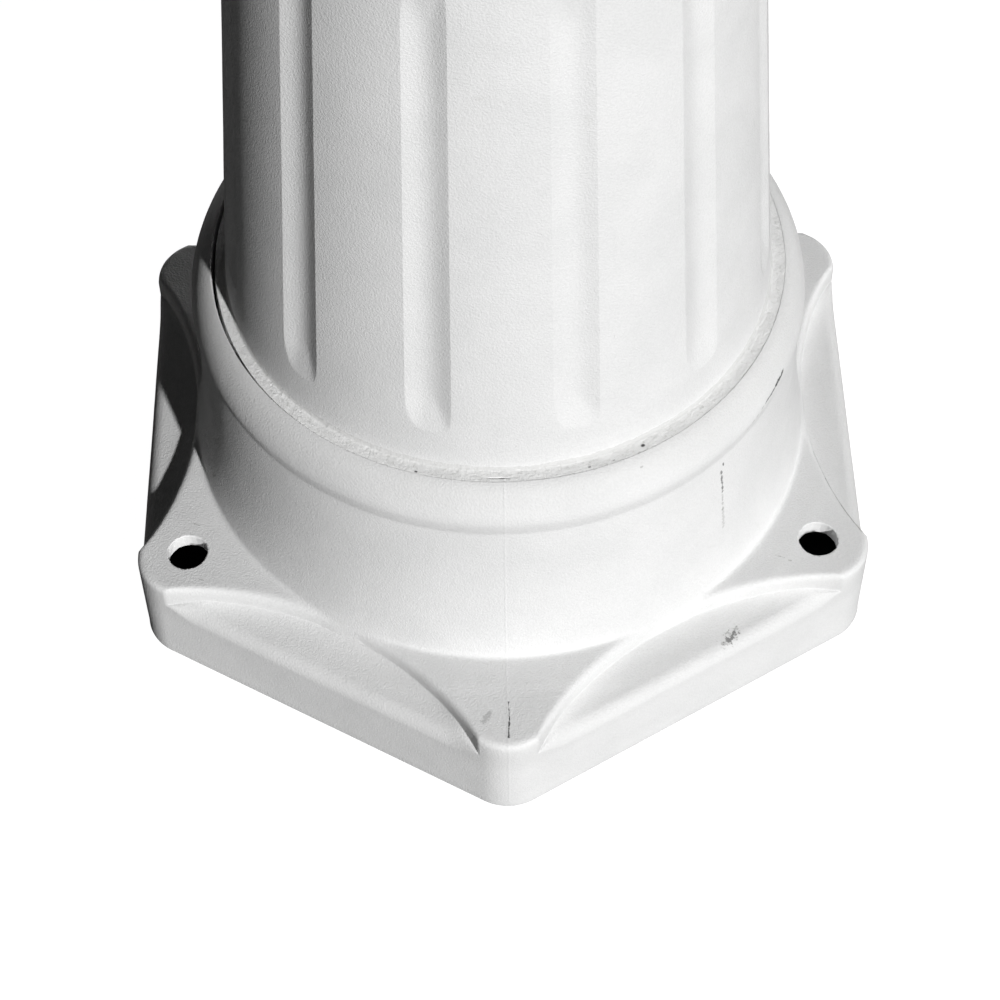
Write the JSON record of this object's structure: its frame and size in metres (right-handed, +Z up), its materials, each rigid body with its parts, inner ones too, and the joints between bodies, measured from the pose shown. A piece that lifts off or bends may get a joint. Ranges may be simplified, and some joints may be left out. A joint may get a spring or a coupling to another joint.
{
  "type": "stanchion base",
  "caption": "Hexagonal footed pedestal base with scooped sides, drilled corner pads, a flared bell with a bead collar and a tapered fluted column with a flat top.",
  "frame": {"origin": "centre of the underside of the foot, on the column's axis", "axes": "+Z up the column, -Y towards the undrilled corner at the front, +X towards the middle of the right-hand side"},
  "size_m": [0.2554, 0.2898, 0.33],
  "materials": {
    "white_polyethylene": "moulded satin white with a faint orange peel",
    "column_polyethylene": "moulded satin white with a faint orange peel",
    "white_sealant": "tooled, pitted, matt",
    "plate_aluminium": "mill",
    "screw_stainless": "turned",
    "washer_stainless": "pressed"
  },
  "bodies": {
    "root": {"base_moulding": "white_polyethylene", "fluted_column": "column_polyethylene", "seam_sealant": "white_sealant", "backing_plate": "plate_aluminium", "foot_screw_1": "screw_stainless", "foot_washer_1": "washer_stainless", "foot_screw_2": "screw_stainless", "foot_washer_2": "washer_stainless", "foot_screw_3": "screw_stainless", "foot_washer_3": "washer_stainless", "foot_screw_4": "screw_stainless", "foot_washer_4": "washer_stainless", "foot_screw_5": "screw_stainless", "foot_washer_5": "washer_stainless", "foot_screw_6": "screw_stainless", "foot_washer_6": "washer_stainless", "plate_screw_1": "screw_stainless", "plate_screw_2": "screw_stainless", "plate_screw_3": "screw_stainless", "plate_screw_4": "screw_stainless"}
  },
  "joints": []
}
